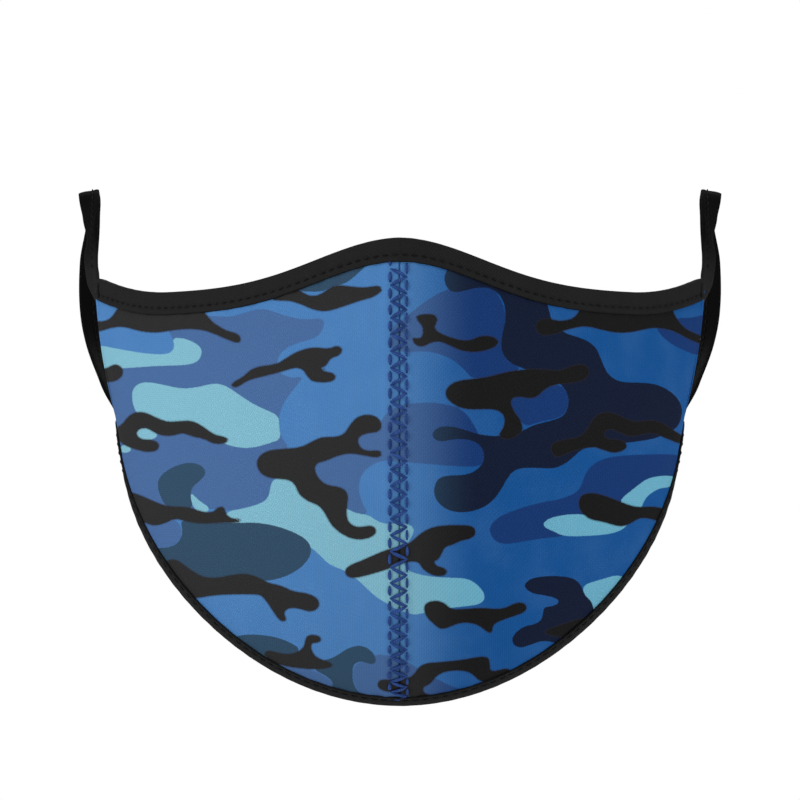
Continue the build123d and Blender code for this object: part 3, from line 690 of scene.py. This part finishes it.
def loop_marks():
    """Points and outward directions for the stitches on both faces of the right loop."""
    centre, width, up = loop_frames(ROUTE_STATIONS)
    way = way_along(centre)
    start = np.arange(12.0, way[-1] - 6.0, RUN_PITCH)[:, None]
    at = np.interp(start + RUN_LENGTH * STITCH_STEPS, way, np.arange(ROUTE_STATIONS)).round().astype(int)
    lift = LOOP_THICKNESS / 2 - 0.42 + 0.50 * STITCH_BOW[None, :, None]
    lines = [centre[at] - width[at] * LOOP_GROOVE + up[at] * facing * lift for facing in (1.0, -1.0)]
    return np.concatenate(lines), np.concatenate([up[at], -up[at]])


def tab_rings():
    """End of the loop sewn in behind the side hem: a flat oval carried in from the side edge."""
    low, high = (inset(np.array(1.0), 1, np.array(distance)) for distance in (8.0, 13.5))
    share = np.linspace(0, 1, 24)[:, None]
    turn = ring_turn(20)
    v = (low + high) / 2 + squarish(np.cos(turn), 0.5)[None] * (high - low) / 2
    return side_point(v, 0.4 + share * 5.0, STACK + 1.15 + 0.45 * squarish(np.sin(turn), 0.6)[None])


def tack_marks():
    """Threads of the two bar tacks: short bars side by side, arched over the tab inside and over the
    top tape outside. Each tack is (edge, distance in from it, depth, way it faces)."""
    inner_tack = (1, 10.7, STACK + 1.75, 1.0)
    outer_tack = (0, 2.9, -PLY_GAP - TAPE - 0.05, -1.0)
    bars = np.linspace(-1.9, 1.9, 13)[:, None]
    sway = (1.2 * STITCH_STEPS - 0.6)[None]
    lines, outs = [], []
    for edge, distance, depth, facing in (inner_tack, outer_tack):
        v = inset(np.ones(bars.shape) * 0.97, edge, distance + bars * (1 if edge else -1))
        v = np.broadcast_arrays(v, sway)[0]
        lines.append(side_point(v, 2.9 + sway, depth + facing * (0.28 * STITCH_BOW[None] - 0.12)))
        outs.append(inward(np.full(v.shape, 0.97), v) * facing)
    return np.concatenate(lines), np.concatenate(outs)


# ---- materials ----
class Nodes:
    """Short way to write a material's nodes."""

    def __init__(self, name, roughness, specular):
        self.material = bpy.data.materials.get(name) or bpy.data.materials.new(name)
        self.material.use_nodes = True
        self.tree = self.material.node_tree
        self.tree.nodes.clear()
        self.shader = self.add("ShaderNodeBsdfPrincipled")
        output = self.add("ShaderNodeOutputMaterial")
        self.tree.links.new(self.shader.outputs[0], output.inputs[0])
        self.shader.inputs["Roughness"].default_value = roughness
        self.shader.inputs["Specular IOR Level"].default_value = specular

    def add(self, kind, **settings):
        node = self.tree.nodes.new(kind)
        for key, value in settings.items():
            setattr(node, key, value)
        return node

    def put(self, value, socket):
        if isinstance(value, (int, float)):
            socket.default_value = value
        elif isinstance(value, tuple):
            socket.default_value = value if len(value) == len(socket.default_value) else (*value, 1.0)
        else:
            self.tree.links.new(value, socket)

    def math(self, operation, a, b=0.0, c=0.0):
        node = self.add("ShaderNodeMath", operation=operation)
        for socket, value in zip(node.inputs, (a, b, c)):
            self.put(value, socket)
        return node.outputs[0]

    def mix(self, factor, a, b, blend="MIX"):
        node = self.add("ShaderNodeMix", data_type="RGBA", blend_type=blend)
        self.put(factor, node.inputs[0])
        self.put(a, node.inputs[6])
        self.put(b, node.inputs[7])
        return node.outputs[2]

    def step(self, value, low, high):
        node = self.add("ShaderNodeMapRange", interpolation_type="SMOOTHSTEP")
        for socket, item in zip(node.inputs, (value, low, high, 0.0, 1.0)):
            self.put(item, socket)
        return node.outputs[0]

    def cloth_map(self, turn=0.0):
        turned = self.add("ShaderNodeMapping")
        self.put(self.add("ShaderNodeUVMap", uv_map="Cloth").outputs[0], turned.inputs[0])
        turned.inputs["Rotation"].default_value = (0, 0, turn)
        return turned.outputs[0]

    def noise(self, scale, detail=3.0):
        node = self.add("ShaderNodeTexNoise")
        self.put(self.add("ShaderNodeTexCoord").outputs["Object"], node.inputs["Vector"])
        node.inputs["Scale"].default_value = scale
        node.inputs["Detail"].default_value = detail
        return node.outputs[0]

    def wave(self, vector, scale, distortion, direction="X"):
        node = self.add("ShaderNodeTexWave", bands_direction=direction)
        self.put(vector, node.inputs["Vector"])
        node.inputs["Scale"].default_value = scale
        node.inputs["Distortion"].default_value = distortion
        node.inputs["Detail"].default_value = 0.0
        return node.outputs["Fac"]

    def bump(self, height, strength, distance):
        node = self.add("ShaderNodeBump")
        node.inputs["Strength"].default_value = strength
        node.inputs["Distance"].default_value = distance
        self.put(height, node.inputs["Height"])
        self.put(node.outputs[0], self.shader.inputs["Normal"])

    def shaded(self, base, shade):
        """Puts a colour on the shader, darkened by a grey shade."""
        tone = self.add("ShaderNodeCombineColor")
        for socket in tone.inputs[:3]:
            self.put(shade, socket)
        self.put(self.mix(1.0, base, tone.outputs[0], "MULTIPLY"), self.shader.inputs["Base Color"])


# A wave texture repeats every pi / 10 of its scaled vector.
def wave_scale(pitch_mm):
    return pi / 10 / (pitch_mm * MM)


def knit_height(nodes, wale, course):
    """Rows of small stitches: ribs one way, broken by shorter waves across and on the slant."""
    wander = 0.35
    flat = nodes.cloth_map()
    ribs = nodes.wave(flat, wave_scale(wale), wander)
    rungs = nodes.wave(flat, wave_scale(course), wander, "Y")
    slant = nodes.wave(nodes.cloth_map(0.62), wave_scale(wale * 1.15), wander)
    return nodes.math("ADD", nodes.math("MULTIPLY", ribs, rungs), nodes.math("MULTIPLY", slant, 0.5))


def printed_knit(colours):
    """Fine knit with four printed shapes over a bright ground. Each colour has a paler copy on the left half,
    which is painted light, and a darker copy on the right half, which is painted shade.
    """
    nodes = Nodes("printed_knit", 0.84, specular=0.05)
    knit = knit_height(nodes, 0.62, 0.50)
    wobble = nodes.math("MULTIPLY", nodes.math("SUBTRACT", nodes.noise(1400.0, 2.0), 0.5), 0.22)
    from_seam = nodes.add("ShaderNodeAttribute", attribute_name="from_seam").outputs["Fac"]
    # Painted light and shade: half picks each colour's paler copy left of the seam and its darker copy right
    # of it.
    half = nodes.step(from_seam, -2.0, 20.0)
    colour = nodes.mix(half, colours["bright_left"], colours["bright_right"])
    dye = nodes.noise(90.0, 4.0)
    colour = nodes.mix(nodes.step(dye, 0.35, 0.75), colour, nodes.mix(0.06, colour, (0.22, 0.42, 0.76)))
    for name, soft in (("mid", 0.20), ("light", 0.15), ("dark", 0.13), ("black", 0.11)):
        stored = nodes.add("ShaderNodeAttribute", attribute_name=name).outputs["Fac"]
        field = nodes.math("ADD", stored, wobble)
        edge = nodes.step(field, -soft, soft)
        # Each print colour's left copy carries painted light and its right copy painted shade.
        ink_with_painted_light = nodes.mix(half, colours[name + "_left"], colours[name + "_right"])
        if name == "black":
            rim = nodes.step(field, -0.40, -0.12)
            colour = nodes.mix(nodes.math("MULTIPLY", rim, 0.45), colour, (0.030, 0.022, 0.020))
        colour = nodes.mix(edge, colour, ink_with_painted_light)
    fleck = nodes.step(nodes.noise(2600.0, 2.0), 0.30, 0.80)
    colour = nodes.mix(nodes.math("MULTIPLY", fleck, 0.006), colour, (0.62, 0.66, 0.74))
    shade = nodes.math("MULTIPLY_ADD", nodes.step(knit, 0.1, 0.9), 0.15, 0.88)
    # Painted shade: the colour falls to 38 percent of itself along the hollow of the centre seam.
    gap = nodes.step(nodes.math("ABSOLUTE", nodes.math("ADD", from_seam, 0.15)), 0.10, 0.34)
    shade = nodes.math("MULTIPLY", shade, nodes.math("MULTIPLY_ADD", gap, 0.62, 0.38))
    # Painted highlight: a thin lane just right of the seam, on the rising wall of its hollow, is made up to
    # 16 percent lighter.
    seam_highlight = nodes.step(nodes.math("ABSOLUTE", nodes.math("SUBTRACT", from_seam, 0.75)), 0.85, 0.45)
    shade = nodes.math("MULTIPLY", shade, nodes.math("MULTIPLY_ADD", seam_highlight, 0.16, 1.0))
    nodes.shaded(colour, shade)
    nodes.bump(nodes.math("ADD", knit, nodes.math("MULTIPLY", nodes.noise(700.0), 0.5)), 0.55, 0.00012)
    return nodes.material


def plain_cloth(name, colour, wale, course, depth, fuzz, specular=0.08, start=None):
    """One-colour cloth: stitches or weave, with cloudy shade and loose fibres. start is another colour that
    its first two centimetres fade from."""
    nodes = Nodes(name, 0.9, specular)
    knit = knit_height(nodes, wale, course)
    shade = nodes.math("MULTIPLY_ADD", nodes.step(knit, 0.0, 1.0), 0.35, 0.72)
    cloud = nodes.math("MULTIPLY_ADD", nodes.noise(160.0, 4.0), 0.30, 0.85)
    fibre = nodes.math("MULTIPLY", nodes.step(nodes.noise(3000.0, 2.0), 0.55, 0.85), fuzz)
    # The ear loops use this fade: their colour past the first two centimetres is painted shade.
    if start is not None:
        along = nodes.add("ShaderNodeSeparateXYZ")
        nodes.put(nodes.cloth_map(), along.inputs[0])
        colour = nodes.mix(nodes.step(along.outputs[0], 0.008, 0.024), start, colour)
    base = nodes.mix(fibre, colour, (0.32, 0.32, 0.34))
    nodes.shaded(base, nodes.math("MULTIPLY", shade, cloud))
    nodes.bump(nodes.math("ADD", knit, nodes.math("MULTIPLY", nodes.noise(900.0), 0.4)), 0.6, depth)
    return nodes.material


def thread(name, colour):
    """Twisted yarn: slanting ply lines over the colour, with painted highlights on their crests and painted
    shade between them.
    """
    nodes = Nodes(name, 0.7, specular=0.12)
    twist = nodes.wave(nodes.cloth_map(0.75), wave_scale(YARN_PITCH), 0.3)
    # Painted highlight colour for the crests of the plies, and below it painted shade for the grooves between
    # them.
    light = tuple(min(1.0, c * 1.7 + 0.01) for c in colour)
    dark = tuple(c * 0.6 for c in colour)
    cloud = nodes.step(nodes.noise(500.0), 0.2, 0.8)
    base = nodes.mix(nodes.math("MULTIPLY", twist, cloud), dark, light)
    nodes.put(base, nodes.shader.inputs["Base Color"])
    nodes.bump(twist, 0.5, 0.0001)
    return nodes.material


def backdrop_paper():
    nodes = Nodes("backdrop_paper", 0.95, specular=0.05)
    base = nodes.mix(nodes.noise(6.0), (0.93, 0.93, 0.93), (0.97, 0.97, 0.97))
    nodes.put(base, nodes.shader.inputs["Base Color"])
    return nodes.material


# ---- sizes and colours ----
def millimetres(name, text, value):
    return bpy.props.FloatProperty(name=name, description=text, default=value * MM, unit="LENGTH",
                                   precision=5)


def swatch(name, text, value):
    return bpy.props.FloatVectorProperty(name=name, description=text, default=value, size=3, subtype="COLOR",
                                         min=0.0, max=1.0)


class MaskSizes(bpy.types.PropertyGroup):
    seam_pitch: millimetres("Seam stitch", "One repeat of the centre seam's stitches", SEAM_PITCH)
    seam_row: millimetres("Seam rows", "How far each row of stitches lies from the centre seam", SEAM_ROW)
    seam_thread: millimetres("Seam thread", "Width of the centre seam's thread", SEAM_THREAD)
    tape_thread: millimetres("Tape thread", "Width of the thread on the tapes", TAPE_THREAD)
    top_tape: millimetres("Top tape", "Width of the tape along the top edge", TOP_TAPE_WIDTH)
    bottom_tape: millimetres("Bottom tape", "Width of the tape along the jaw", BOTTOM_TAPE_WIDTH)


class MaskColours(bpy.types.PropertyGroup):
    # Each _left and _right pair is one colour twice: the left copy is paler (painted light) and the right
    # copy darker (painted shade).
    bright_left: swatch("Bright, left", "Ground colour of the left half", (0.079, 0.243, 0.560))
    bright_right: swatch("Bright, right", "Ground colour of the right half", (0.009, 0.102, 0.350))
    mid_left: swatch("Middle, left", "Middle blue of the left half", (0.075, 0.167, 0.385))
    mid_right: swatch("Middle, right", "Middle blue of the right half", (0.010, 0.048, 0.198))
    light_left: swatch("Light, left", "Palest shapes of the left half", (0.250, 0.555, 0.695))
    light_right: swatch("Light, right", "Palest shapes of the right half", (0.178, 0.510, 0.690))
    dark_left: swatch("Dark, left", "Dark shapes of the left half", (0.037, 0.086, 0.150))
    dark_right: swatch("Dark, right", "Dark shapes of the right half", (0.0075, 0.0140, 0.041))
    black_left: swatch("Black, left", "Black shapes of the left half", (0.029, 0.029, 0.030))
    black_right: swatch("Black, right", "Black shapes of the right half", (0.0115, 0.0115, 0.0120))
    tape: swatch("Tape", "Binding tape and ear loops", (0.0200, 0.0200, 0.0205))
    # The loop colour is the tape colour darkened, as painted shade on the ear loops.
    loop: swatch("Loop", "Tape of the ear loops", (0.0042, 0.0042, 0.0045))
    lining: swatch("Lining", "Inner cloth", (0.030, 0.030, 0.034))
    filter_cloth: swatch("Filter", "Padded layer between the cloths", (0.78, 0.80, 0.82))
    seam_thread: swatch("Seam thread", "Thread of the centre seam", (0.025, 0.074, 0.285))
    dark_thread: swatch("Dark thread", "Thread on tapes and tacks", (0.0050, 0.0050, 0.0055))


def sizes():
    return bpy.context.scene.mask_sizes


def tint(name):
    return tuple(getattr(bpy.context.scene.mask_colours, name))


# Finishes that several pieces share. Each is built once, by the first piece that asks.
FINISHES = {}


def shared(name, build):
    if name not in FINISHES:
        FINISHES[name] = build()
    return FINISHES[name]


def tape_cloth():
    return shared("tape", lambda: plain_cloth(
        "binding_tape", tint("tape"), 0.55, 0.5, 0.00012, fuzz=0.006, specular=0.06))


def shaded_loop_cloth():
    """The loops' tape starts in the bindings' colour and turns darker past its first two centimetres; the
    darker colour is painted shade.
    """
    return shared("loop", lambda: plain_cloth(
        "loop_tape", tint("loop"), 0.55, 0.5, 0.00012, fuzz=0.008, specular=0.05, start=tint("tape")))


def dark_thread():
    return shared("dark", lambda: thread("dark_thread", tint("dark_thread")))


# ---- operators ----
class MASK_OT_panels(bpy.types.Operator):
    """Two printed outer panels, bent over the nose and cheeks"""
    bl_idname = "mask.panels"
    bl_label = "Printed panels"

    def execute(self, context):
        names = MaskColours.__annotations__
        knit = printed_knit({n: tint(n) for n in names if n.endswith(("_left", "_right"))})
        for side, sign in SIDES:
            piece = ply(f"printed_panel_{side}", sign, (0.0, CLOTH), PANEL_GRID, knit, panel_relief)
            add_print(piece)
            across_fold(piece, f"outer_panel_{side}")
        return {"FINISHED"}


class MASK_OT_hems(bpy.types.Operator):
    """Turned hems of the printed cloth along the side edges"""
    bl_idname = "mask.hems"
    bl_label = "Side hems"

    def execute(self, context):
        knit = bpy.data.materials["printed_knit"]
        turn = np.linspace(0, pi, 11)[1:-1]
        middle, reach = STACK / 2, STACK / 2 + 0.35
        outer = np.concatenate([
            np.stack([np.linspace(1.5, 0.1, 6), np.linspace(-0.12, -0.34, 6)], axis=1),
            np.stack([-0.85 * np.sin(turn), middle - reach * np.cos(turn)], axis=1),
            np.stack([np.linspace(0.1, HEM_WIDTH, 10), np.full(10, STACK + 0.35)], axis=1),
        ])
        shift_in = np.where(outer[:, 0] < 0, 0.28, 0.0)
        shift_depth = np.clip(middle - outer[:, 1], -0.3, 0.3)
        inner = outer + np.stack([shift_in, shift_depth], axis=1)
        profile = np.concatenate([outer, inner[::-1]])
        v = np.linspace(inset(1.0, 0, 0.8), inset(1.0, 1, 0.8), 150)[:, None]
        for side, sign in SIDES:
            rings = side_point(v, profile[None, :, 0], profile[None, :, 1])
            piece = tube(f"side_hem_cloth_{side}", mirrored(rings, sign), knit)
            add_print(piece)
            across_fold(piece, f"side_hem_{side}")
        return {"FINISHED"}


class MASK_OT_inner_plies(bpy.types.Operator):
    """Filter layer and lining behind the printed panels"""
    bl_idname = "mask.inner_plies"
    bl_label = "Filter and lining"

    def execute(self, context):
        wool = plain_cloth("filter_cloth", tint("filter_cloth"), 1.1, 1.0, 0.0002, fuzz=0.05)
        jersey = plain_cloth("lining_cloth", tint("lining"), 0.7, 0.6, 0.00012, fuzz=0.12)
        start = CLOTH + PLY_GAP
        for side, sign in SIDES:
            wadding = ply(f"filter_ply_{side}", sign, (start, start + FILTER_PLY), FILTER_GRID, wool)
            across_fold(wadding, f"filter_layer_{side}")
            skin = ply(f"lining_ply_{side}", sign, (STACK - LINING_PLY, STACK), LINING_GRID, jersey)
            across_fold(skin, f"lining_{side}")
        return {"FINISHED"}


class MASK_OT_bindings(bpy.types.Operator):
    """Folded tapes along the top edge and the jaw, each one length over the centre seam"""
    bl_idname = "mask.bindings"
    bl_label = "Bindings"

    def execute(self, context):
        edges = (("top", 0, sizes().top_tape / MM), ("bottom", 1, sizes().bottom_tape / MM))
        for name, edge, width in edges:
            piece = tube(f"{name}_binding_tape", tape_rings(edge, width), tape_cloth())
            across_fold(piece, f"{name}_binding_left", f"{name}_binding_right")
            lines, out = row_marks(edge)
            for side, sign in SIDES:
                row = strands(f"{name}_binding_stitches_{side}", mirrored(lines, sign), mirrored(out, sign),
                              sizes().tape_thread / MM, 0.30, dark_thread())
                across_fold(row, f"{name}_binding_stitching_{side}")
        return {"FINISHED"}


class MASK_OT_seam(bpy.types.Operator):
    """Flatlock stitches over the centre seam, outside and inside"""
    bl_idname = "mask.seam"
    bl_label = "Centre seam"

    def execute(self, context):
        blue = thread("blue_thread", tint("seam_thread"))
        pitch, row, wide = sizes().seam_pitch / MM, sizes().seam_row / MM, sizes().seam_thread / MM
        lines, out = seam_threads(pitch, (-0.32, -0.02), row, row + 0.15)
        inner, inner_out = seam_threads(pitch, (0.45, STACK - 0.05), row, row - 0.2)
        left = strands("seam_stitches_left", lines[0], out[0], wide * 1.1, 0.6, blue)
        right = strands("seam_stitches_right", lines[1], out[1], wide * 0.9, 0.6, blue)
        across_fold(left, "seam_stitching_left")
        across_fold(right, "seam_stitching_right")
        for k, side in ((2, "left"), (3, "right")):
            legs = strands(f"seam_crossing_threads_{side}", lines[k], out[k], wide * 1.15, 0.5, blue,
                           taper=0.8)
            across_fold(legs, slot="blue_thread")
            looper = strands(f"seam_looper_threads_{side}", inner[k], -inner_out[k], wide * 0.8, 0.45, blue)
            across_fold(looper, f"seam_looper_stitching_{side}")
        for k, side in ((0, "left"), (1, "right")):
            back = strands(f"seam_looper_runs_{side}", inner[k], -inner_out[k], wide * 0.8, 0.45, blue)
            across_fold(back, slot="blue_thread")
        return {"FINISHED"}


class MASK_OT_loops(bpy.types.Operator):
    """Ear loops of folded tape with their stitches, sewn-in ends and bar tacks"""
    bl_idname = "mask.loops"
    bl_label = "Ear loops"

    def execute(self, context):
        for side, sign in SIDES:
            tape = tube(f"ear_loop_tape_{side}", mirrored(loop_rings(), sign), shaded_loop_cloth())
            lines, outs = loop_marks()
            stitches = strands(f"ear_loop_stitches_{side}", mirrored(lines, sign), mirrored(outs, sign),
                               sizes().tape_thread / MM, 0.30, dark_thread())
            for piece, node in ((tape, f"ear_loop_{side}"), (stitches, f"ear_loop_stitching_{side}")):
                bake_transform(piece)
                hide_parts(node)
            tab = tube(f"loop_tab_tape_{side}", mirrored(tab_rings(), sign), tape_cloth())
            across_fold(tab, f"loop_tab_{side}")
            lines, outs = tack_marks()
            bar = strands(f"bar_tack_threads_{side}", mirrored(lines, sign), mirrored(outs, sign),
                          TAPE_THREAD, 0.28, dark_thread())
            across_fold(bar, f"bar_tack_{side}")
        return {"FINISHED"}


class MASK_OT_stage(bpy.types.Operator):
    """Pale floor that falls away at its edges, a white surround, soft lights and the camera"""
    bl_idname = "mask.stage"
    bl_label = "Stage"

    def execute(self, context):
        y, x = np.linspace(-1200, 560, FLOOR_POINTS)[:, None], np.linspace(-1100, 1100, FLOOR_POINTS)[None]
        height = FLOOR_HEIGHT - FLOOR_FALL * np.clip(np.hypot(x, y + 320) / 900 - 0.8, 0, 1) ** 2
        grid = np.stack(np.broadcast_arrays(x, y, height), axis=-1).reshape(-1, 3)
        i, j = np.meshgrid(np.arange(FLOOR_POINTS - 1), np.arange(FLOOR_POINTS - 1), indexing="ij")
        at = i * FLOOR_POINTS + j
        faces = np.stack([at, at + 1, at + FLOOR_POINTS + 1, at + FLOOR_POINTS], axis=-1).reshape(-1, 4)
        floor = make("floor", grid, faces, grid[:, :2], backdrop_paper())
        scene = context.scene
        scene.view_settings.view_transform = "Standard"
        world = bpy.data.worlds.new("studio")
        scene.world = world
        world.use_nodes = True
        tree = world.node_tree
        tree.nodes["Background"].inputs[0].default_value = (1.0, 1.0, 1.0, 1.0)
        seen = tree.nodes.new("ShaderNodeLightPath")
        strength = tree.nodes.new("ShaderNodeMapRange")
        strength.inputs["To Min"].default_value, strength.inputs["To Max"].default_value = WORLD_LIGHT, 1.0
        tree.links.new(seen.outputs["Is Camera Ray"], strength.inputs["Value"])
        tree.links.new(strength.outputs[0], tree.nodes["Background"].inputs[1])
        for name, spot, size, power in LAMPS:
            light = bpy.data.lights.new(name, "AREA")
            light.shape, light.size, light.size_y, light.energy = "RECTANGLE", size[0], size[1], power
            lamp = bpy.data.objects.new(name, light)
            context.collection.objects.link(lamp)
            lamp.location = spot
            aim = np.array([0.0, -0.02, 0.0]) - np.array(spot)
            lamp.rotation_euler = Vector(aim).to_track_quat("-Z", "Y").to_euler()
        lens = bpy.data.cameras.new("camera")
        lens.lens, lens.sensor_width, lens.clip_start, lens.clip_end = CAMERA_LENS, 36.0, 0.05, 50.0
        camera = bpy.data.objects.new("camera", lens)
        context.collection.objects.link(camera)
        camera.location = CAMERA_PLACE
        camera.rotation_euler = (pi / 2, 0, 0)
        scene.camera = camera
        return {"FINISHED"}


class MASK_PT_sidebar(bpy.types.Panel):
    """Lists the mask's pieces, sizes and colours"""
    bl_label = "Face mask"
    bl_idname = "MASK_PT_sidebar"
    bl_space_type = "VIEW_3D"
    bl_region_type = "UI"
    bl_category = "Mask"

    def draw(self, context):
        for operator in OPERATORS:
            self.layout.operator(operator.bl_idname)
        for group in (context.scene.mask_sizes, context.scene.mask_colours):
            for name in type(group).__annotations__:
                self.layout.prop(group, name)


OPERATORS = (MASK_OT_inner_plies, MASK_OT_panels, MASK_OT_hems, MASK_OT_bindings, MASK_OT_seam, MASK_OT_loops,
             MASK_OT_stage)
CLASSES = (MaskSizes, MaskColours, *OPERATORS, MASK_PT_sidebar)


def register():
    for item in CLASSES:
        bpy.utils.register_class(item)
    bpy.types.Scene.mask_sizes = bpy.props.PointerProperty(type=MaskSizes)
    bpy.types.Scene.mask_colours = bpy.props.PointerProperty(type=MaskColours)


def unregister():
    del bpy.types.Scene.mask_sizes
    del bpy.types.Scene.mask_colours
    for item in reversed(CLASSES):
        bpy.utils.unregister_class(item)


def main():
    register()
    bpy.ops.mask.inner_plies()
    bpy.ops.mask.panels()
    bpy.ops.mask.hems()
    bpy.ops.mask.bindings()
    bpy.ops.mask.seam()
    bpy.ops.mask.loops()
    bpy.ops.mask.stage()


if __name__ == "__main__":
    main()
